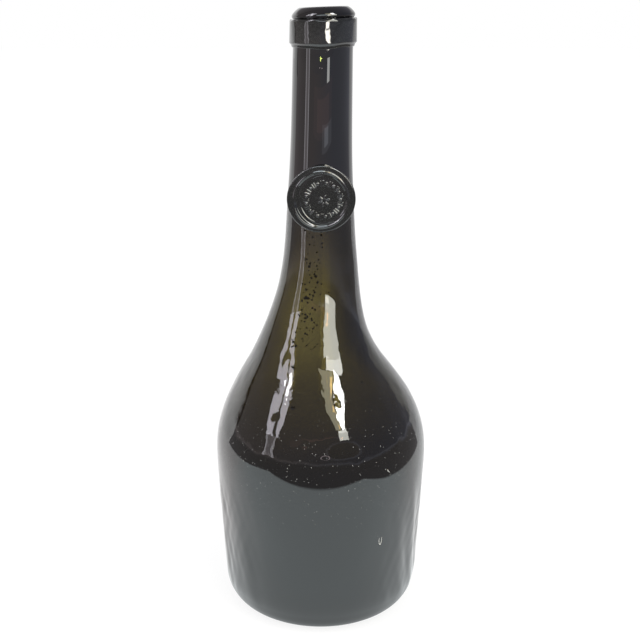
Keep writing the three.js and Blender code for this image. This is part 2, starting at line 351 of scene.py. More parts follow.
mouth_edge = quarter(
    (BORE_RADIUS + MOUTH_EASE, MOUTH_HEIGHT - MOUTH_EASE), MOUTH_EASE, math.pi, math.pi / 2, 3
)
bore = straight((BORE_RADIUS, MOUTH_HEIGHT - MOUTH_EASE), moved_in(NECK, 1), 2)
inner_neck = lining(NECK, 6)
inner_sweep = lining(SWEEP, 20)
inner_shoulder = lining(SHOULDER, 12)
inner_side = lining(SIDE, 8)
inner_heel = lining(HEEL, 8)
floor_rise = PUSH_UP_HEIGHT + CROWN_WALL
inner_floor = stroke(
    [
        (0, floor_rise),
        (PUSH_UP_CROWN + CROWN_WALL, floor_rise),
        ((RING_INNER + RING_OUTER) / 2, HEEL_WALL),
        (RING_OUTER, HEEL_WALL),
    ],
    12,
)
bottle = spun(
    [
        underside, ring, heel, side, shoulder, sweep, neck, under_collar, ledge, rim_low, rim_side,
        rim, mouth_top, mouth_edge, bore, inner_neck, inner_sweep, inner_shoulder, inner_side,
        inner_heel, inner_floor,
    ],
    "bottle_glass",
    ROUND_STEPS,
)
print("bottle:", len(bottle.data.vertices), "vertices,", len(bottle.data.polygons), "faces")

# %% [markdown]
# What the hand did
#
# The shoulder bulges to the left, the neck leans right, and the mouth is tilted. Every piece gets
# the same warp, so pieces that meet still do. Then the skin is made uneven, with a soft ridge in the
# shoulder, scattered dents, and a sum of shallow waves that run round and up the glass. Each wave
# has a whole number of crests round the bottle, so it closes on itself. A tenth of a millimetre is
# all that it takes to bend a reflection.

# %% The shared warp
SHOULDER_BULGE = 2.7 * MM
BULGE_HEIGHT = TURN_HEIGHT + 15 * MM
BULGE_SPREAD = 23 * MM
NECK_LEAN = 1.35 * MM
LEAN_START = ROOT_HEIGHT - 27 * MM
MOUTH_TILT = math.tan(math.radians(2.1))
TILT_RISE = 24 * MM


def centre_at(height):
    """How far the middle of the bottle lies to the right at a height."""
    bulge = SHOULDER_BULGE * np.exp(-(((height - BULGE_HEIGHT) / BULGE_SPREAD) ** 2))
    up = np.maximum(0, height - LEAN_START) / (MOUTH_HEIGHT - LEAN_START)
    return NECK_LEAN * up * up * (2 - up) - bulge


def warped(spots):
    height = spots[:, 2].copy()
    tilted = smooth_step(height, COLLAR_TOP - TILT_RISE, COLLAR_TOP)
    spots[:, 2] += spots[:, 0] * MOUTH_TILT * tilted
    spots[:, 0] += centre_at(height)
    return spots


# %% Shallow waves
def waves(around, height, count, crests, rises, seed):
    """A sum of waves about 1 high. crests: least and most round the bottle; rises: the same for
    the number of crests in each 100 mm of height."""
    rng = np.random.default_rng(seed)
    total = np.zeros_like(around)
    for _ in range(count):
        turns = rng.integers(crests[0], crests[1] + 1)
        climb = rng.uniform(*rises) * 2 * math.pi / 0.1 * rng.choice((-1, 1))
        total += np.cos(turns * around + climb * height + rng.uniform(0, 2 * math.pi))
    return total / math.sqrt(count / 2)


def band(height, low, high, blend):
    """1 between two heights, fading to 0 over the blend on each side."""
    return smooth_step(height, low - blend, low) * (1 - smooth_step(height, high, high + blend))


def turned_from(around, middle):
    """How far round from a middle each direction lies, the short way."""
    return (around - middle + math.pi) % (2 * math.pi) - math.pi


# %% Dents
LEFT, RIGHT, REST, ALL = (-150, -94), (-94, -30), (-30, 210), (-180, 180)


def dents(around, height, radius, turns, count, heights, widths, depths, seed):
    """Scattered shallow hollows and humps between two turns and two heights. A depth is a share of
    the width."""
    rng = np.random.default_rng(seed)
    total = np.zeros_like(around)
    for _ in range(count):
        turn = math.radians(rng.uniform(*turns))
        middle = heights[0] + (heights[1] - heights[0]) * rng.uniform()
        width = rng.uniform(*widths)
        depth = rng.uniform(*depths) * rng.choice((-1, 1))
        tall = width * rng.uniform(0.8, 2.2)
        off = np.abs(turned_from(around, turn)) * radius
        near = (off < 3 * width) & (np.abs(height - middle) < 3 * tall)
        shape = np.exp(-((off[near] / width) ** 2) - ((height[near] - middle) / tall) ** 2)
        total[near] += depth * width * shape
    return total


# %% Ridge, waves and dents of the skin
RIDGE_HEIGHT = 2.131 * MM  # a soft upright ridge down the front of the shoulder
RIDGE_TURN, RIDGE_HALF = math.radians(11.87), math.radians(10.18)
RIDGE_ZONE = 105.03 * MM, 105.03 * MM, 11.51 * MM

# How many waves are added up, crests round the bottle and in each 100 mm up, a seed; and the height
SLOW, SLOW_HIGH = (10, (1, 4), (0.4, 1.6), 4891), 0.09 * MM
DIMPLES, DIMPLES_HIGH = (26, (4, 12), (1, 4), 8258), 0.022 * MM
RIPPLES, RIPPLES_HIGH = (14, (12, 26), (0.2, 1.5), 41), 0.13 * MM
FINE_RIPPLES, FINE_RIPPLES_HIGH = (20, (24, 56), (3, 9), 43), 0.04 * MM
FRAYS, FRAYS_HIGH = (24, (40, 85), (8, 24), 47), 0.006 * MM
NECK_WAVES, NECK_WAVES_HIGH = (12, (2, 4), (0.5, 2), 53), 0.012 * MM
RIPPLE_ZONE = 16 * MM, 60 * MM, 16 * MM
DIMPLE_ZONE = 84 * MM, 190 * MM, 20 * MM
FRAY_ZONE = 97 * MM, 146 * MM, 9 * MM

ROUGH = (94 * MM, 136 * MM), (1.7 * MM, 3.2 * MM)  # heights and widths of dents
FINE = (130 * MM, 190 * MM), (1.7 * MM, 5 * MM)
LOW = (20 * MM, 96 * MM), (2 * MM, 6 * MM)
SHARP, BLUNT, FAINT = (0.008, 0.0512), (0.008, 0.03), (0.002, 0.012)  # depths, as shares of the width
DENTS = (
    (LEFT, 65, *ROUGH, SHARP, 45580), (RIGHT, 75, *ROUGH, SHARP, 91604), (REST, 280, *ROUGH, BLUNT, 5),
    (LEFT, 40, *FINE, FAINT, 53297), (RIGHT, 46, *FINE, FAINT, 31168), (REST, 174, *FINE, FAINT, 6),
    (ALL, 260, *LOW, (0.002, 0.01), 7),
)

# %% How the skin departs from its profile
SKIN_IN = 0.33 * MM  # keeps the uneven belly inside its own size
SKIN_IN_ZONE = 50 * MM, 95 * MM, 30 * MM
FOOT_FADE, CENTRE_FADE = (0.5 * MM, 14 * MM), (8 * MM, 26 * MM)  # the ring and the push-up stay true
NECK_STARTS = 190 * MM, 215 * MM


def uneven(spots):
    """How far the hand left the glass out of its true profile at each spot, before the warp."""
    around, radius = polar(spots)
    height = spots[:, 2]
    slow = waves(around, height, *SLOW) * SLOW_HIGH
    dimpled = waves(around, height, *DIMPLES) * DIMPLES_HIGH
    ripples = waves(around, height, *RIPPLES) * RIPPLES_HIGH
    ripples += waves(around, height, *FINE_RIPPLES) * FINE_RIPPLES_HIGH
    at_sides = smooth_step(np.abs(np.cos(around)), 0.45, 0.9)
    lower = band(height, *RIPPLE_ZONE) * (0.12 + 0.88 * at_sides)
    middle = band(height, *DIMPLE_ZONE)
    frayed = waves(around, height, *FRAYS) * FRAYS_HIGH
    frayed *= band(height, *FRAY_ZONE)
    from_ridge = turned_from(around + math.pi / 2, RIDGE_TURN)
    ridge = RIDGE_HEIGHT * np.exp(-((from_ridge / RIDGE_HALF) ** 2))
    ridge *= band(height, *RIDGE_ZONE)
    dented = sum(dents(around, height, radius, *row) for row in DENTS)
    fades = smooth_step(height, *FOOT_FADE) * smooth_step(radius, *CENTRE_FADE)
    above = smooth_step(height, *NECK_STARTS)
    wide = slow + dimpled * (0.5 + middle) + ripples * lower + dented + ridge + frayed
    wide = (wide - SKIN_IN * band(height, *SKIN_IN_ZONE)) * fades
    narrow = slow * 0.25 + waves(around, height, *NECK_WAVES) * NECK_WAVES_HIGH
    push = wide * (1 - above) + narrow * above
    return push * (1 - smooth_step(height, COLLAR_BOTTOM - 3 * MM, COLLAR_BOTTOM))


# %% Make the skin uneven, and warp it
THICK_SIDES = 0.06  # how much narrower the bubble inside is, side to side
BUBBLE_LEFT = 0.6 * MM  # and how far to the left it lies
BUBBLE_ZONE = 132 * MM, 200 * MM, 30 * MM

spots = places(bottle)
reach = np.maximum(np.hypot(spots[:, 0], spots[:, 1]), 0.1 * MM)
levels, outer = zip(*[(spot[1], spot[0]) for spot, along in up_the_outside(1)])
inner = reach < np.interp(spots[:, 2], levels, outer) - 0.8 * MM
thicker = inner * band(spots[:, 2], *BUBBLE_ZONE)
spots[:, 0] -= thicker * (spots[:, 0] * THICK_SIDES + BUBBLE_LEFT)
spots[:, :2] *= (1 + uneven(spots) / reach)[:, None]
move_to(bottle, warped(spots))
print("bubble moved at", int((thicker > 0).sum()), "of", len(spots), "vertices")

# %% The ragged joint under the rim
JOINT_RAGGED = 0.1 * MM

spots = places(bottle)
around, reach = polar(spots)
at_joint = band(spots[:, 2], LEDGE_HEIGHT - 0.3 * MM, LEDGE_HEIGHT + 0.5 * MM, 0.6 * MM)
at_joint *= smooth_step(reach, RIM_RADIUS - 1.2 * MM, RIM_RADIUS - 0.4 * MM)
jagged = JOINT_RAGGED * waves(around, reach * 0, 12, (5, 34), (0, 0), 59)
spots[:, 2] += at_joint * jagged
spots[:, :2] *= (1 + at_joint * 0.6 * jagged / np.maximum(reach, MM))[:, None]
move_to(bottle, spots)
print("bottle box:", bottle.bound_box[0][:], bottle.bound_box[6][:])

# %% [markdown]
# The collar
#
# While the neck was still hot, a thread of glass was laid round it under the rim and squeezed to a
# band with tongs. Its lower edge has run down a little at the front, and both edges wander.

# %% Model the collar
COLLAR_PROUD = 1.65 * MM
COLLAR_CHAMFER = 2 * MM  # the height of its slanted lower edge
COLLAR_EDGE = 0.8 * MM
COLLAR_DROOP = 0.9 * MM
DROOP_ANGLE = math.radians(38)
SUNK = 0.4 * MM  # how far the collar and the pad reach into the neck that they are fused to
FUSED_TOP = LEDGE_HEIGHT - 0.04 * MM
COLLAR_WANDER = 0.13 * MM
EDGE_DIP, EDGE_NOTCH = 0.25 * MM, 0.16 * MM
LUMP_HIGH, GRAIN_HIGH = 0.03 * MM, 0.005 * MM
COLLAR_IN = 0.1 * MM  # keeps the lumps inside the collar's own size
LEAN_OUT = 0.05 * MM  # the tongs left the front of the collar a little proud at its foot
STREAK_TURN, STREAK_SPREAD = math.radians(8), math.radians(24)

collar_out = NECK_RADIUS + COLLAR_PROUD
collar_in = NECK_RADIUS - SUNK
knee = (collar_out, COLLAR_BOTTOM + COLLAR_CHAMFER)
shin = (collar_out - 0.78 * MM, COLLAR_BOTTOM + 1.15 * MM)
foot = (collar_out - 1.08 * MM, COLLAR_BOTTOM + 0.28 * MM)
toe = (NECK_RADIUS + 0.05 * MM, COLLAR_BOTTOM)


def between(first, last, share):
    return tuple(a + (b - a) * share for a, b in zip(first, last))


knee_start = between(shin, knee, 0.8)
knee_end = (collar_out, knee[1] + 0.3 * MM)
collar = spun(
    [
        straight((collar_in, COLLAR_BOTTOM), toe, 1),
        stroke([toe, (foot[0], toe[1]), foot, foot], 5),
        straight(foot, between(foot, shin, 0.8), 3),
        stroke([between(foot, shin, 0.8), shin, shin, between(shin, knee, 0.15)], 4),
        straight(between(shin, knee, 0.15), knee_start, 5),
        stroke([knee_start, knee, knee, knee_end], 5),
        straight(knee_end, (collar_out, FUSED_TOP - COLLAR_EDGE), 16),
        quarter(
            (collar_out - COLLAR_EDGE, FUSED_TOP - COLLAR_EDGE), COLLAR_EDGE, 0, math.pi / 2, 7
        ),
        straight((collar_out - COLLAR_EDGE, FUSED_TOP), (collar_in, FUSED_TOP), 4),
        straight((collar_in, FUSED_TOP), (collar_in, COLLAR_BOTTOM), 2),
    ],
    "collar_band",
    220,
)
spots = places(collar)
around, reach = polar(spots)
from_front = np.abs(np.arctan2(spots[:, 0], -spots[:, 1])) / DROOP_ANGLE
low = np.clip(1 - (spots[:, 2] - COLLAR_BOTTOM) / (2 * COLLAR_CHAMFER), 0, 1)
high = smooth_step(spots[:, 2], FUSED_TOP - 2.5 * MM, FUSED_TOP)
outer = smooth_step(reach, NECK_RADIUS, collar_out)
edge = smooth_step(reach, RIM_RADIUS - 0.3 * MM, collar_out)
droop = COLLAR_DROOP * (1 + np.cos(math.pi * np.minimum(1, from_front))) / 2
wander = waves(around, spots[:, 2], 9, (2, 11), (0, 0.3), 61)
notch = waves(around, spots[:, 2], 12, (6, 24), (0, 0.3), 67)
spots[:, 2] -= low * (droop + COLLAR_WANDER * wander)
spots[:, 2] -= high * edge * (EDGE_DIP + EDGE_NOTCH * notch)
lumps = waves(around, spots[:, 2], 14, (3, 12), (1, 5), 71) * LUMP_HIGH
lumps += waves(around, spots[:, 2], 18, (16, 34), (10, 40), 73) * GRAIN_HIGH
off_streak = np.arctan2(spots[:, 0], -spots[:, 1]) - STREAK_TURN
leaning = LEAN_OUT * np.exp(-((off_streak / STREAK_SPREAD) ** 2))
leaning *= np.clip((COLLAR_TOP - spots[:, 2]) / (COLLAR_TOP - COLLAR_BOTTOM), 0, 1)
spots[:, :2] *= (1 + outer * (lumps + leaning - COLLAR_IN) / reach)[:, None]
move_to(collar, warped(spots))
print("collar:", len(collar.data.polygons), "faces")

# %% [markdown]
# The stamped pad
#
# A gather of hot glass was dropped on the front of the neck and struck with a round metal stamp, a
# little off centre, so its rim is wide on the left and thin on the right. The stamp here is generic:
# a ring of beads and short bars round a small rosette.

# %% Model the pad
PAD_RADIUS = 15.5 * MM
PAD_HEIGHT = ROOT_HEIGHT - 5.8 * MM
PAD_RIGHT = 0.2 * MM
PAD_CREST = 18.55 * MM  # from the axis of the neck to the crest of the pad's rim
PAD_BACK = 11.5 * MM
PAD_FLAT = 14.9 * MM
PAD_TALL = 0.973  # its height for its width
PAD_STEPS = 360
IN_NECK = 12.9 * MM  # from the axis to the back of the pad, inside the neck's wall
NECK_FLARE = 0.06  # how much nearer the back lies for each step up, as the neck narrows

pad = spun(
    [
        straight((0, PAD_CREST - PAD_BACK), (12 * MM, PAD_CREST - PAD_BACK), 3),
        stroke(
            [
                (12 * MM, PAD_CREST - PAD_BACK),
                (14.2 * MM, PAD_CREST - 7.5 * MM),
                (PAD_RADIUS, PAD_CREST - 5 * MM),
                (PAD_RADIUS, PAD_CREST - 0.7 * MM),
            ],
            10,
        ),
        stroke(
            [
                (PAD_RADIUS, PAD_CREST - 0.7 * MM),
                (PAD_RADIUS, PAD_CREST - 0.2 * MM),
                (PAD_FLAT + 0.25 * MM, PAD_CREST),
                (PAD_FLAT, PAD_CREST),
            ],
            8,
        ),
        straight((PAD_FLAT, PAD_CREST), (0, PAD_CREST), 120),
    ],
    "stamped_pad",
    PAD_STEPS,
)
print("pad:", len(pad.data.polygons), "faces")

# %% The stamp's rings
CREST_AT = (-0.1 * MM, -0.3 * MM)
CREST_RADII = (12.3 * MM, 13.0 * MM)
CREST_HIGH = 0.3 * MM  # the roll of glass that the stamp squeezed up round itself
CREST_HALF = 0.42 * MM
SWELLS = (  # where the roll is fuller or flatter: direction, spread and share
    (math.radians(92), math.radians(26), 0.3),
    (math.radians(-135), math.radians(34), 0.35),
    (math.radians(28), math.radians(30), -0.75),
)
STAMP_DEPTH = 0.42 * MM
LINE_AT = (0.9 * MM, -0.1 * MM)
LINE_RADII = (10.6 * MM, 11.3 * MM)
LINE_HIGH = 0.2 * MM
LINE_HALF = 0.36 * MM


def from_oval(across, up, middle, radii):
    """How far outside an oval on the pad's face a spot lies."""
    share = np.hypot((across - middle[0]) / radii[0], (up - middle[1]) / radii[1])
    return (share - 1) * (radii[0] + radii[1]) / 2


# %% Beads, bars and rosette of the stamp
BEADS = 13
BEAD_CIRCLE = 7.8 * MM
FIELD_AT = (0.9 * MM, -0.3 * MM)
PETALS = 6
ROSETTE_AT = (1.3 * MM, -0.7 * MM)


def relief(across, up, out, turn, middle, length, width, high):
    """A rounded bar on the field, along its own direction from the middle, or a bead if as long as
    it is wide."""
    along = (across - middle[0]) * math.cos(turn) + (up - middle[1]) * math.sin(turn) - out
    aside = (up - middle[1]) * math.cos(turn) - (across - middle[0]) * math.sin(turn)
    share = np.hypot(np.maximum(0, np.abs(along) - (length - width)) / width, aside / width)
    return high * np.clip(1 - share**2, 0, 1)


def ornament(across, up):
    """The height of the beads, bars and rosette above the field, each worn in its own way."""
    rng = np.random.default_rng(107)
    total = np.zeros_like(across)
    for i in range(BEADS):
        turn = 2 * math.pi * i / BEADS + rng.uniform(-0.05, 0.05)
        shapes = [(0, 0.75, 0.75)] + [(side * 0.175, 1.4, 0.4) for side in (-1, 1)]
        for shift, length, width in shapes:
            high = width * rng.uniform(0.35, 0.6) * MM
            place = turn + shift, FIELD_AT, length * MM, width * MM, high
            total = np.maximum(total, relief(across, up, BEAD_CIRCLE, *place))
    for i in range(PETALS):
        turn = 2 * math.pi * i / PETALS + 0.3
        place = turn, ROSETTE_AT, 1.0 * MM, 0.45 * MM, rng.uniform(0.18, 0.26) * MM
        total = np.maximum(total, relief(across, up, 1.75 * MM, *place))
    return total


# %% Strike the pad with the stamp
def struck(across, up, depth):
    """The front of the pad after the stamp, from how far across, up and forward a vertex lies."""
    front = smooth_step(depth, PAD_CREST - 1.2 * MM, PAD_CREST - 0.1 * MM)
    crest = from_oval(across, up, CREST_AT, CREST_RADII)
    line = from_oval(across, up, LINE_AT, LINE_RADII)
    turn = np.arctan2(up, across)
    worn = 1 + 0.3 * waves(turn, depth * 0, 9, (1, 7), (0, 0), 97)
    swell = np.zeros_like(turn)
    for middle, half, share in SWELLS:
        swell += share * np.exp(-((turned_from(turn, middle) / half) ** 2))
    fuller = CREST_HALF * (1 + np.maximum(0, swell))
    roll = CREST_HIGH * (1 + swell) * np.exp(-((crest / fuller) ** 2))
    sunk = STAMP_DEPTH * smooth_step(-crest, 0.2 * MM, 1.3 * MM)
    raised = LINE_HIGH * worn * np.exp(-((line / LINE_HALF) ** 2))
    sway = 0.012 * MM * waves(turn, np.hypot(across, up), 7, (1, 4), (2, 8), 101)
    return depth + front * (roll + raised + ornament(across, up) + sway - CREST_HIGH - sunk)


spots = places(pad)
turn = np.arctan2(spots[:, 1], spots[:, 0])
spots[:, 2] = struck(spots[:, 0], spots[:, 1], spots[:, 2])
spots[:, :2] *= (1 + 0.003 * waves(turn, turn * 0, 6, (2, 5), (0, 0), 103))[:, None]
spots[:, 1] *= PAD_TALL
spots[:, 0] += PAD_RIGHT
inside = IN_NECK - NECK_FLARE * spots[:, 1]
spots[:, 2] = np.maximum(spots[:, 2], np.sqrt(np.maximum(0, inside**2 - spots[:, 0] ** 2)))
move_to(pad, spots)
bpy.ops.object.shade_smooth()
print("front of the pad:", round(spots[:, 2].max() / MM, 2), "mm from the axis")

# %% Lay the pad on the neck
spots = places(pad)
spots = np.stack([spots[:, 0], -spots[:, 2], spots[:, 1] + PAD_HEIGHT], axis=1)
move_to(pad, warped(spots))
pick(pad)
bpy.ops.object.mode_set(mode="EDIT")
bpy.ops.mesh.select_all(action="SELECT")
bpy.ops.mesh.normals_make_consistent(inside=False)
bpy.ops.object.mode_set(mode="OBJECT")
print("pad's box:", pad.bound_box[0][:], pad.bound_box[6][:])

# %% [markdown]
# The scar
#
# The glassmaker's iron held the base while the mouth was finished, and broke off with a rough ring
# of glass under the push-up.

# %% Model the scar
SCAR_RADIUS, SCAR_THICK = 11 * MM, 2.1 * MM
SCAR_FLAT = 0.76  # its height for its width

pick()
scar_low, scar_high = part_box("pontil_scar")
middle_height = scar_high[2] - 0.3 * MM
bpy.ops.mesh.primitive_torus_add(
    major_radius=SCAR_RADIUS, minor_radius=SCAR_THICK, major_segments=96, minor_segments=16,
    location=(0, 0, middle_height),
)
scar = bpy.context.object
scar.name = "pontil_ring"
bake_place(scar)
spots = places(scar)
around, reach = polar(spots)
rough = 1 + 0.16 * waves(around, spots[:, 2], 14, (3, 24), (5, 40), 83)
spots[:, 2] = middle_height + (spots[:, 2] - middle_height) * SCAR_FLAT * rough
spots[:, 2] = np.clip(spots[:, 2], scar_low[2], scar_high[2] + 1.2 * MM)
move_to(scar, spots)
pick(scar)
bpy.ops.object.shade_smooth()
print("scar:", len(scar.data.polygons), "faces")


# %% [markdown]
# Stones and blisters
#
# Unmelted grains of the furnace stay in the glass as black stones, most of them in the shoulder and
# the root of the neck. They stand a hair proud of its skin. Two blisters, whose rings are painted
# highlights, a scratch and a few dots mark it too, and a green glint lies at the top of the neck.

# %% Where a mark lies in the wall
PROFILE = up_the_outside(0.98)  # short of each stroke's end, so that the heights keep rising


def in_wall(turns, heights, depth):
    """Places at turns from the front, in degrees, and heights of the outside, under its skin."""
    levels = [spot[1] for spot, along in PROFILE]
    outer = np.interp(heights, levels, [spot[0] for spot, along in PROFILE])
    slant = np.interp(heights, levels, [along[0] for spot, along in PROFILE])
    around = np.radians(turns) - math.pi / 2
    found = np.stack([outer * np.cos(around), outer * np.sin(around), heights], axis=1)
    reach = outer + uneven(found) - depth * np.sqrt(1 - slant**2)
    found = np.stack([reach * np.cos(around), reach * np.sin(around), heights + depth * slant], axis=1)
    return warped(found)


# %% Stones
BIG_STONES = [  # degrees from the front, height, half width and half height in mm
    (-16.7, 175.9, 0.8, 0.7), (-5.8, 171.5, 0.8, 0.6), (-16.1, 161.3, 1.7, 0.7),
    (-20, 131, 0.8, 1.0), (-17, 115, 1.1, 0.9), (3, 168, 0.4, 0.5), (14, 164, 0.4, 0.4),
    (37, 123.5, 0.4, 0.4), (-17.6, 186, 0.4, 0.5), (0, 140, 0.4, 0.4),
]
STONE_DEPTH, STONE_HALF = 0.02 * MM, 0.25 * MM  # how deep its middle lies, and half its thickness
SPECKS = 105
SPECK_TURNS, SPECK_SIZES = (-26, 3), (0.2, 0.56)  # in degrees and mm
SPECK_LOW, SPECK_RISE = 139, 54  # in mm; most lie low

rng = np.random.default_rng(113)
turns = np.array([row[0] for row in BIG_STONES] + list(rng.uniform(*SPECK_TURNS, SPECKS)))
speck_levels = SPECK_LOW + SPECK_RISE * rng.random(SPECKS) ** 1.5
levels = np.array([row[1] for row in BIG_STONES] + list(speck_levels)) * MM
sizes = [(row[2], row[3]) for row in BIG_STONES]
sizes += [(size, size * rng.uniform(0.8, 1.4)) for size in rng.uniform(*SPECK_SIZES, SPECKS)]
stones = []
for place, turn, (wide, tall) in zip(in_wall(turns, levels, STONE_DEPTH), turns, sizes):
    pick()
    bpy.ops.mesh.primitive_ico_sphere_add(subdivisions=2, radius=1, location=place)
    stone = bpy.context.object
    rough = places(stone)
    rough *= rng.uniform(0.75, 1.1, len(rough))[:, None]
    move_to(stone, rough)
    stone.scale = (wide * MM, STONE_HALF, tall * MM)
    stone.rotation_euler = (0, rng.uniform(-0.5, 0.5), math.radians(turn))
    bake_place(stone)
    stones.append(stone)
stones = joined(stones, "stones")
print("stones:", len(turns), "with", len(stones.data.polygons), "faces")

# %% Blisters and a scratch
# The blister is a ring of painted highlight, pale where a bubble's edge would catch light; the lines
# are a pale scratch and a dot.
MARKS = [  # kind, degrees from the front, height, half width, half height in mm, lean in degrees
    ("blister", 34.1, 49.3, 0.75, 2.1, 4), ("line", 37.9, 84.3, 0.09, 1.6, -41),
    ("line", 36, 85.6, 0.2, 0.16, 0),
]
# The faint blister is a dim ring of painted highlight; the two dots are dim marks.
FAINT_MARKS = [
    ("blister", 2.6, 95, 2.0, 1.1, 0), ("line", -5.4, 264.5, 0.22, 0.22, 0),
    ("line", -1.5, 264.4, 0.22, 0.22, 0),
]
MARK_RISE = 0.02 * MM  # above the skin
BLISTER_OUT, LINE_OUT = 0.8 * MM, 0.08 * MM
SPARKS = [("line", -4.2, 268.3, 0.22, 1.1, 0), ("line", -2.8, 268.6, 0.34, 0.18, 0)]
marked = []
kinds = [(row, "marks") for row in MARKS] + [(row, "faint_marks") for row in FAINT_MARKS]
for (kind, turn, level, wide, tall, lean), group in kinds + [(row, "sparks") for row in SPARKS]:
    place = in_wall(np.array([turn]), np.array([level]) * MM, -MARK_RISE)[0]
    pick()
    if kind == "blister":
        bpy.ops.mesh.primitive_torus_add(
            major_radius=1, minor_radius=0.09, major_segments=36, minor_segments=8,
            location=place, rotation=(math.pi / 2, 0, 0),
        )
        mark = bpy.context.object
        bpy.ops.object.transform_apply(location=False, rotation=True, scale=False)
    else:
        bpy.ops.mesh.primitive_uv_sphere_add(segments=12, ring_count=16, radius=1, location=place)
        mark = bpy.context.object
    mark.scale = (wide * MM, BLISTER_OUT if kind == "blister" else LINE_OUT, tall * MM)
    mark.rotation_euler = (0, math.radians(lean), math.radians(turn))
    bake_place(mark)
    marked.append((mark, group))
marks, faint_marks, sparks = [
    joined([mark for mark, group in marked if group == name], name)
    for name in ("marks", "faint_marks", "sparks")
]
for piece in (stones, marks, faint_marks, sparks):
    pick(piece)
    bpy.ops.object.shade_smooth()
print("marks:", len(marked))

# %% [markdown]
# The glass
#
# Old bottle glass is nearly black until light comes through a thin wall, and then it's olive. That
# is how it's made here: clear glass whose inside takes away light with depth, blue first, then green
# and red. The collar and the pad are so thick that they're black, with a skin that mirrors.


# %% Materials
DEEP = (0.004, 0.0045, 0.004)  # the collar and the pad, too thick for any light
THICK = (1e-5, 1e-5, 1e-5)  # the tint of the body's glass where it's too thick for light
OLIVE = (578, 630, 1060)  # red, green and blue light lost in each metre


def new_material(name):
    """A material and the node tree that it's made of."""
    material = bpy.data.materials.new(name)
    material.use_nodes = True
    return material, material.node_tree


def glass(name, loss, uneven_scale, uneven_depth, roughness, coat):
    """Glass that swallows light with depth. loss is red, green and blue light lost in each metre, or
    None if it's too thick for any, and coat is the refractive index of its fire-polished skin."""
    material, tree = new_material(name)
    nodes, links = tree.nodes, tree.links
    shader = nodes["Principled BSDF"]
    shader.inputs["Base Color"].default_value = (1, 1, 1, 1) if loss else (*DEEP, 1)
    shader.inputs["Transmission Weight"].default_value = 1 if loss else 0
    shader.inputs["IOR"].default_value = 1.52
    shader.inputs["Roughness"].default_value = roughness
    shader.inputs["Coat Weight"].default_value = 1
    shader.inputs["Coat IOR"].default_value = coat
    shader.inputs["Coat Roughness"].default_value = roughness
    if loss:
        absorb = nodes.new("ShaderNodeVolumeAbsorption")
        densest = max(loss) * 1.02
        absorb.inputs["Color"].default_value = (*[1 - part / densest for part in loss], 1)
        absorb.inputs["Density"].default_value = densest
        links.new(absorb.outputs["Volume"], nodes["Material Output"].inputs["Volume"])
    where = nodes.new("ShaderNodeTexCoord")
    texture = nodes.new("ShaderNodeTexNoise")
    texture.inputs["Scale"].default_value = uneven_scale
    texture.inputs["Detail"].default_value = 2.0
    bump = nodes.new("ShaderNodeBump")
    bump.inputs["Strength"].default_value = 1.0
    bump.inputs["Distance"].default_value = uneven_depth
    links.new(where.outputs["Object"], texture.inputs["Vector"])
    links.new(texture.outputs["Fac"], bump.inputs["Height"])
    links.new(bump.outputs["Normal"], shader.inputs["Normal"])
    links.new(bump.outputs["Normal"], shader.inputs["Coat Normal"])
    return material


def dull(name, colour, roughness, shine=0.5):
    material, tree = new_material(name)
    shader = tree.nodes["Principled BSDF"]
    shader.inputs["Base Color"].default_value = (*colour, 1)
    shader.inputs["Roughness"].default_value = roughness
    shader.inputs["Specular IOR Level"].default_value = shine
    return material


body_glass = glass("olive_glass", OLIVE, 330, 0.035 * MM, 0.01, 1.6)
collar_glass = glass("collar_glass", None, 900, 0.006 * MM, 0.015, 1.6)
pad_glass = glass("pad_glass", None, 500, 0.004 * MM, 0.015, 1.65)
scar_glass = glass("scar_glass", OLIVE, 900, 0.15 * MM, 0.25, 1.6)
stone_black = dull("stone_black", (0.006, 0.005, 0.004), 0.9, 0.1)
# Painted highlight: the blister rings take these pale colours in place of light caught at a bubble's
# edge; the scratch and the dots use them too.
pale_scratch_and_painted_glint = dull("pale_scratch_and_painted_glint", (0.6, 0.6, 0.56), 0.5)
dim_dots_and_painted_glint = dull("dim_dots_and_painted_glint", (0.1, 0.08, 0.085), 0.6)
spark_green = dull("spark_green", (0.42, 0.5, 0.1), 0.5)
print("materials:", [material.name for material in bpy.data.materials])


# %% Helpers for nodes
def choose(tree, factor, first, second):
    mix = tree.nodes.new("ShaderNodeMixShader")
    tree.links.new(factor, mix.inputs["Fac"])
    tree.links.new(first, mix.inputs[1])
    tree.links.new(second, mix.inputs[2])
    return mix.outputs["Shader"]


def calculate(tree, operation, *values, clamp=False):
    node = tree.nodes.new("ShaderNodeMath")
    node.operation = operation
    node.use_clamp = clamp
    for socket, value in zip(node.inputs, values):
        if isinstance(value, (int, float)):
            socket.default_value = value
        else:
            tree.links.new(value, socket)
    return node.outputs["Value"]


def fade(tree, value, none, full):
    """0 where a value is none, 1 where it's full, and even between."""
    slope = 1 / (full - none)
    return calculate(tree, "MULTIPLY_ADD", value, slope, -none * slope, clamp=True)


def blend(tree, factor, first, second):
    """A colour between two others, each a value or a socket."""
    mix = tree.nodes.new("ShaderNodeMix")
    mix.data_type = "RGBA"
    tree.links.new(factor, mix.inputs["Factor"])
    for socket, colour in ((mix.inputs["A"], first), (mix.inputs["B"], second)):
        if isinstance(colour, tuple):
            socket.default_value = (*colour, 1)
        else:
            tree.links.new(colour, socket)
    return mix.outputs["Result"]


# %% [markdown]
# Dust
#
# The lower body carries fine pale dots, of dust and wear. A dot shows where the skin cuts through one
# of the small balls that are strewn through space, so their sizes vary by themselves.

# %% Dust on the body
DUST_SCALE = 560  # balls in each metre
DUST_LEAST, DUST_GROWTH = 0.02, 0.1  # how wide a ball is, and how much wider in the dusty zone
DUST_TONE = (0.55, 0.55, 0.52)

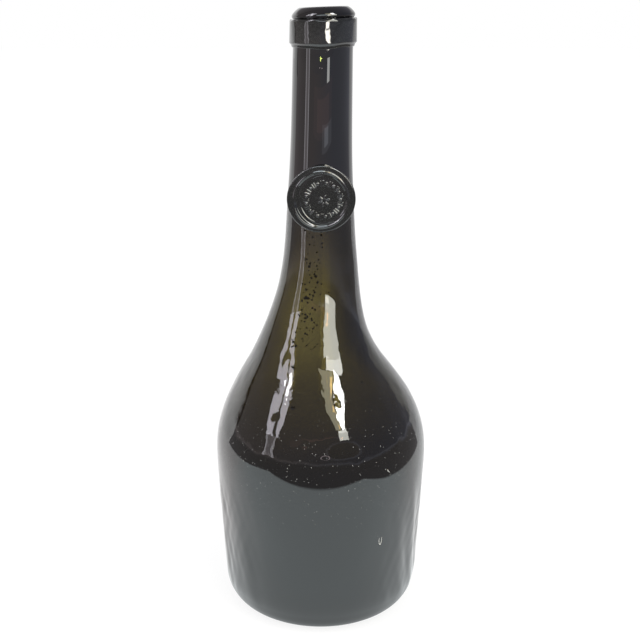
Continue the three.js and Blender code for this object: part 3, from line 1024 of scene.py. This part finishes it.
tree = body_glass.node_tree
nodes, links = tree.nodes, tree.links
shader = nodes["Principled BSDF"]
where = nodes.new("ShaderNodeTexCoord")
cells = nodes.new("ShaderNodeTexVoronoi")
cells.inputs["Scale"].default_value = DUST_SCALE
links.new(where.outputs["Object"], cells.inputs["Vector"])
split = nodes.new("ShaderNodeSeparateXYZ")
links.new(where.outputs["Object"], split.inputs["Vector"])
height = split.outputs["Z"]
low = fade(tree, height, 30 * MM, 90 * MM)
high = fade(tree, height, 126 * MM, 96 * MM)
zone = calculate(tree, "MULTIPLY", low, high)
size = calculate(tree, "MULTIPLY_ADD", zone, DUST_GROWTH, DUST_LEAST)
near = calculate(tree, "SUBTRACT", size, cells.outputs["Distance"])
dust = calculate(tree, "MULTIPLY", near, 24.0, clamp=True)
clear = calculate(tree, "MULTIPLY_ADD", dust, -0.5, 1.0)
links.new(clear, shader.inputs["Transmission Weight"])

# %% [markdown]
# Thick and thin
#
# Light comes through the shoulder alone. The base and the neck are too thick for it, so the tint
# goes from clear to black towards them, and the skin mirrors all over as before. In the shoulder it
# is hammered too, more finely than the mesh can show, and that is left to the Bump node.

# %% Tint and hammering
THIN_TILT = 0.6  # the thick base reaches higher in front than behind

tilted = calculate(tree, "MULTIPLY_ADD", split.outputs["Y"], THIN_TILT, height)
above_base = fade(tree, tilted, 40 * MM, 70 * MM)
below_neck = fade(tree, height, 215.6 * MM, 193.6 * MM)
thin = calculate(tree, "MULTIPLY", above_base, below_neck)
thin = calculate(tree, "MULTIPLY", thin, thin)  # because the shader takes the root of its tint
tint = blend(tree, thin, THICK, (1, 1, 1))
links.new(blend(tree, dust, tint, DUST_TONE), shader.inputs["Base Color"])
hammered = fade(tree, height, 89.6 * MM, 105.6 * MM)
calm = fade(tree, height, 176 * MM, 136 * MM)
ragged = calculate(tree, "MULTIPLY", hammered, calm)
links.new(ragged, shader.inputs["Normal"].links[0].from_node.inputs["Strength"])
print("body glass:", len(nodes), "nodes")


# %% Which piece is which
def dress(obj, material, slot, *stands_for):
    """Gives a piece its material and says which pieces of the frame it stands for."""
    obj.data.materials.clear()
    obj.data.materials.append(material)
    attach(obj, "root")
    if stands_for:
        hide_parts(*stands_for)


dress(bottle, body_glass, "bottle_glass", "bottle_body")
dress(collar, collar_glass, "collar_glass", "lip_band")
dress(pad, pad_glass, "pad_glass", "neck_seal")
dress(scar, scar_glass, "scar_glass", "pontil_scar")
dress(stones, stone_black, "bottle_glass")
dress(marks, pale_scratch_and_painted_glint, "bottle_glass")
dress(faint_marks, dim_dots_and_painted_glint, "bottle_glass")
dress(sparks, spark_green, "bottle_glass")
print("dressed:", [piece.name for piece in (bottle, collar, pad, scar)], "and the marks on them")

# %% [markdown]
# Floor, backdrop and room
#
# The bottle stands on a white sheet in front of a white backdrop, with a dim room on the side of the
# camera. The camera, and light that has come through the glass, see white all round. Light that is
# mirrored sees the sheet, the backdrop and the room, because they give the glass its pale edges and
# its dark front.

# %% The floor
SHEET_FRONT = -0.225  # how far the white sheet reaches, in metres from the bottle
SHEET_LEFT, SHEET_LEFT_SPREAD = 0.385, 0.4
SHEET_RIGHT, SHEET_RIGHT_SPREAD = 0.255, 0.2
BACKDROP_LEFT = math.radians(67)  # how far round from straight back the backdrop reaches
BACKDROP_RIGHT = math.radians(57)
BEHIND = (-0.08125, 0.04375)  # where its tone changes from front to back
SHEET_BEFORE = (0.92, 1.01, 1.03)
SHEET_LEFT_TONE, SHEET_RIGHT_TONE = (0.89, 0.88, 0.88), (0.74, 0.75, 0.755)
FAR_LEFT_TONE, FAR_RIGHT_TONE = (0.78, 0.78, 0.78), (0.57, 0.57, 0.58)
ROOM_FLOOR = (0.22, 0.21, 0.215)
FAR_FLOOR_LEFT, FAR_FLOOR_RIGHT = (0.4, 0.36, 0.365), (0.32, 0.325, 0.38)
SHADE_RADIUS, SHADE_WIDTH = 0.034, 0.02  # the sheet is in shade under the heel
SHADE_TONE = (0.05, 0.05, 0.05)
SHEET_GLOW = 0.85  # how much of the sheet the camera sees as plain white; the rest shows the shadow
EDGE = 60  # how sharp the sheet's edges are, in shares of a metre

pick()
bpy.ops.mesh.primitive_plane_add(size=12)
ground = bpy.context.object
ground.name = "floor"


def mirrored_only(tree):
    """1 for light that was last mirrored; light that came through glass counts as glossy too."""
    path = tree.nodes.new("ShaderNodeLightPath")
    through = calculate(tree, "SUBTRACT", 1.0, path.outputs["Is Transmission Ray"])
    return path, calculate(tree, "MULTIPLY", through, path.outputs["Is Glossy Ray"])


def sheet_side(tree, across, back, edge, spread, backdrop):
    """1 inside one side edge of the sheet, which joins the backdrop's edge behind the bottle."""
    near = calculate(tree, "MULTIPLY_ADD", back, spread, edge)
    far = calculate(tree, "MULTIPLY", back, math.tan(backdrop))
    limit = calculate(tree, "MAXIMUM", near, far)
    inside = calculate(tree, "SUBTRACT", limit, across)
    return calculate(tree, "MULTIPLY", inside, EDGE, clamp=True)


def white_sheet():
    material, tree = new_material("white_sheet")
    nodes, links = tree.nodes, tree.links
    nodes.remove(nodes["Principled BSDF"])
    paper = nodes.new("ShaderNodeBsdfDiffuse")
    paper.inputs["Color"].default_value = (1, 1, 1, 1)
    white = nodes.new("ShaderNodeEmission")
    white.inputs["Color"].default_value = (1, 1, 1, 1)
    reflected = nodes.new("ShaderNodeEmission")
    where = nodes.new("ShaderNodeNewGeometry")
    split = nodes.new("ShaderNodeSeparateXYZ")
    links.new(where.outputs["Position"], split.inputs["Vector"])
    right, back = split.outputs["X"], split.outputs["Y"]
    left = calculate(tree, "MULTIPLY", right, -1.0)
    front = calculate(tree, "SUBTRACT", back, SHEET_FRONT)
    on_sheet = calculate(tree, "MULTIPLY", front, EDGE, clamp=True)
    for across, edge, spread, backdrop in (
        (left, SHEET_LEFT, SHEET_LEFT_SPREAD, BACKDROP_LEFT),
        (right, SHEET_RIGHT, SHEET_RIGHT_SPREAD, BACKDROP_RIGHT),
    ):
        side = sheet_side(tree, across, back, edge, spread, backdrop)
        on_sheet = calculate(tree, "MULTIPLY", on_sheet, side)
    to_right = fade(tree, right, -0.125, 0.125)
    beside = blend(tree, to_right, SHEET_LEFT_TONE, SHEET_RIGHT_TONE)
    distant = blend(tree, to_right, FAR_LEFT_TONE, FAR_RIGHT_TONE)
    outwards = nodes.new("ShaderNodeVectorMath")
    outwards.operation = "LENGTH"
    links.new(where.outputs["Position"], outwards.inputs[0])
    reach = outwards.outputs["Value"]
    far = fade(tree, reach, 0.25, 0.75)
    behind = fade(tree, back, *BEHIND)
    sheet = blend(tree, behind, SHEET_BEFORE, blend(tree, far, beside, distant))
    lit = fade(tree, reach, SHADE_RADIUS, SHADE_RADIUS + SHADE_WIDTH)
    shaded = blend(tree, lit, SHADE_TONE, sheet)
    aside = fade(tree, right, -2, 2)
    far_floor = blend(tree, aside, FAR_FLOOR_LEFT, FAR_FLOOR_RIGHT)
    further = fade(tree, reach, 1.25, 2.5)
    room = blend(tree, further, ROOM_FLOOR, far_floor)
    links.new(blend(tree, on_sheet, room, shaded), reflected.inputs["Color"])
    path, mirrored = mirrored_only(tree)
    shown = calculate(tree, "MULTIPLY", path.outputs["Is Camera Ray"], SHEET_GLOW)
    plain = choose(tree, shown, paper.outputs[0], white.outputs[0])
    seen = choose(tree, path.outputs["Is Transmission Ray"], plain, white.outputs[0])
    either = choose(tree, mirrored, seen, reflected.outputs[0])
    links.new(either, nodes["Material Output"].inputs["Surface"])
    return material


ground.data.materials.append(white_sheet())
print("floor:", ground.dimensions[:])

# %% The backdrop and the room
ROOM_LEFT, ROOM_RIGHT = (0.28, 0.255, 0.255), (0.19, 0.195, 0.235)
BACKDROP_RIGHT_LEVEL = 0.45  # the right side of the backdrop is in shade
BACKDROP_EDGE_LEVEL = 0.65
CEILING = math.sin(math.radians(30))  # the backdrop is seen up to here
LOW_GLOW = 0.45  # how much brighter the room is just below the level of the bottle
GLOW_FROM, GLOW_FULL = 0.2 / 30, -0.8 / 30
BACKDROP_SHARP = 28.0
POST_TURN, POST_SHARP = 0.035, -23.0  # a dark post stands beside the backdrop's left edge

world = bpy.data.worlds.new("studio")
bpy.context.scene.world = world
world.use_nodes = True
tree = world.node_tree
nodes, links = tree.nodes, tree.links
background = nodes["Background"]
where = nodes.new("ShaderNodeTexCoord")
split = nodes.new("ShaderNodeSeparateXYZ")
links.new(where.outputs["Generated"], split.inputs["Vector"])
turn = calculate(tree, "ARCTAN2", split.outputs["X"], split.outputs["Y"])
from_left = calculate(tree, "ADD", turn, BACKDROP_LEFT)
from_right = calculate(tree, "SUBTRACT", BACKDROP_RIGHT, turn)
inside = calculate(tree, "MINIMUM", from_left, from_right)
on_backdrop = calculate(tree, "MULTIPLY", inside, BACKDROP_SHARP, clamp=True)
under = fade(tree, split.outputs["Z"], CEILING, CEILING - 0.125)
on_backdrop = calculate(tree, "MULTIPLY", on_backdrop, under)
to_middle = calculate(tree, "MULTIPLY", inside, 1 / math.radians(25), clamp=True)
rising = 1 - BACKDROP_EDGE_LEVEL
level = calculate(tree, "MULTIPLY_ADD", to_middle, rising, BACKDROP_EDGE_LEVEL)
to_right = calculate(tree, "MULTIPLY_ADD", split.outputs["X"], 0.5, 0.5)
shade = calculate(tree, "MULTIPLY_ADD", to_right, BACKDROP_RIGHT_LEVEL - 1, 1.0)
level = calculate(tree, "MULTIPLY", level, shade)

# %% Its edge, the glow of the room and what each kind of light sees
glow = fade(tree, split.outputs["Z"], GLOW_FROM, GLOW_FULL)
glow = calculate(tree, "MULTIPLY_ADD", glow, LOW_GLOW, 1.0)
off_post = calculate(tree, "ABSOLUTE", calculate(tree, "ADD", from_left, POST_TURN))
post = calculate(tree, "MULTIPLY_ADD", off_post, POST_SHARP, 1.0, clamp=True)
glow = calculate(tree, "MULTIPLY", glow, calculate(tree, "SUBTRACT", 1.0, post))
room = nodes.new("ShaderNodeVectorMath")
room.operation = "SCALE"
links.new(blend(tree, to_right, ROOM_LEFT, ROOM_RIGHT), room.inputs["Vector"])
links.new(glow, room.inputs["Scale"])
reflected = blend(tree, on_backdrop, room.outputs["Vector"], level)
path, mirrored = mirrored_only(tree)
links.new(blend(tree, mirrored, (1, 1, 1), reflected), background.inputs["Color"])
background.inputs["Strength"].default_value = 1.0
print("world:", len(nodes), "nodes")

# %% [markdown]
# Windows
#
# Windows light the room from behind the camera: one to the right, with a bright upper pane and a
# little gold in it, and a narrow double one far to the left. Each pane is an area lamp, given by the
# directions of its edges as seen from the bottle. Small lamps close to it give the neck, the pad
# and the lower left side what only they mirror.


# %% Window lamps
def window(name, sides, heights, radiance, colour, seen_from=0.16, distance=3.0, spread=180):
    """A pane between two directions from the front, to the right, and two from level, upwards. All
    are degrees as seen from a height on the bottle's axis."""
    turn = math.radians((sides[0] + sides[1]) / 2)
    rise = math.radians((heights[0] + heights[1]) / 2)
    way = Vector((math.sin(turn) * math.cos(rise), -math.cos(turn) * math.cos(rise), math.sin(rise)))
    pick()
    bpy.ops.object.light_add(type="AREA", location=Vector((0, 0, seen_from)) + way * distance)
    lamp = bpy.context.object
    lamp.name = name
    lamp.rotation_euler = way.to_track_quat("Z", "Y").to_euler()
    light = lamp.data
    light.shape = "RECTANGLE"
    reach = 2 * distance
    light.size = reach * math.cos(rise) * math.tan(math.radians(sides[1] - sides[0]) / 2)
    light.size_y = reach * math.tan(math.radians(heights[1] - heights[0]) / 2)
    light.energy = radiance * math.pi * light.size * light.size_y
    if spread < 180:
        half = math.radians(spread / 2)
        light.energy *= 1 - half / math.tan(half)  # a narrower beam would be brighter otherwise
    light.color = colour
    light.spread = math.radians(spread)
    lamp.visible_camera = False
    return lamp


window("right_low_pane", (15.9, 48.9), (2.9, 32), 4.4, (1, 1, 0.9))
window("right_middle_pane", (15.9, 47.9), (32, 40), 6.5, (1, 1, 0.93))
window("right_high_pane", (32.9, 47.9), (40, 62), 14, (1, 1, 1))
window("right_shaded_pane", (5.9, 32.9), (40, 62), 1.9, (0.95, 0.9, 0.65))
window("right_high_gold", (24.9, 29.9), (43, 52), 5, (1, 0.62, 0.15))
window("right_low_gold", (21.9, 25.9), (9, 15), 3.5, (1, 0.5, 0.08))
window("right_sill", (17, 26), (-2.8, -0.6), 2.8, (1, 1, 0.97), seen_from=0.25, distance=0.8)
window("right_rail", (12, 24), (-2.6, 1.2), 18, (1, 0.96, 0.86), 0.28, 0.5, spread=20)
ON_NECK = dict(seen_from=0.24, distance=0.4)
window("warm_patch", (-30, 36), (-4.9, -0.8), 0.06, (1, 0.5, 0.45), **ON_NECK)
window("warm_heart", (-18, 26), (-4.5, -2), 0.1, (1, 0.5, 0.4), **ON_NECK)
window("cool_patch", (2, 36), (-5.8, -4.2), 0.16, (0.85, 0.9, 1), **ON_NECK)
window("cool_heart", (10, 24), (-5.5, -4.4), 0.5, (0.85, 0.9, 1), **ON_NECK)
window("pad_light", (-24, 14), (42, 58), 5.5, (0.84, 0.94, 1), 0.208, 0.14, spread=90)
LOW_LEFT = dict(seen_from=0.2, distance=1.5)
window("left_low_pane", (-65.1, -50.1), (-6, 10), 0.45, (0.95, 0.88, 0.95), **LOW_LEFT)
window("left_low_frame", (-65.1, -62.1), (-6, 10), 1.1, (0.95, 0.93, 1), **LOW_LEFT)
window("left_low_post", (-53.1, -50.1), (-6, 10), 1.1, (0.95, 0.93, 1), **LOW_LEFT)
window("left_outer_pane", (-69.1, -58.1), (12, 62), 3.2, (0.93, 0.9, 1))
window("left_inner_pane", (-55.1, -43.1), (12, 62), 3.2, (0.93, 0.9, 1))
window("left_inner_light", (-53.1, -46.1), (34, 45), 10, (1, 1, 1))
window("left_outer_light", (-67.1, -62.1), (36, 40), 10, (1, 1, 1))
print("lamps:", len(bpy.data.lights))

# %% [markdown]
# The camera
#
# The photograph was taken from just above the level of the bottle's mouth, looking down a little.
# The camera's place, tilt and lens were fitted to its outline together with the bottle's profile.

# %% Camera and colour
CAMERA_AT = (-0.00023, -0.490, 0.294)
CAMERA_DOWN = math.radians(16.9)
LENS = 59.7

pick()
bpy.ops.object.camera_add(location=CAMERA_AT, rotation=(math.pi / 2 - CAMERA_DOWN, 0, 0))
camera = bpy.context.object
camera.name = "camera"
camera.data.sensor_width = 36
camera.data.lens = LENS
print("camera's view:", round(math.degrees(camera.data.angle), 1), "degrees wide")
bpy.context.scene.camera = camera
bpy.context.scene.view_settings.view_transform = "Standard"
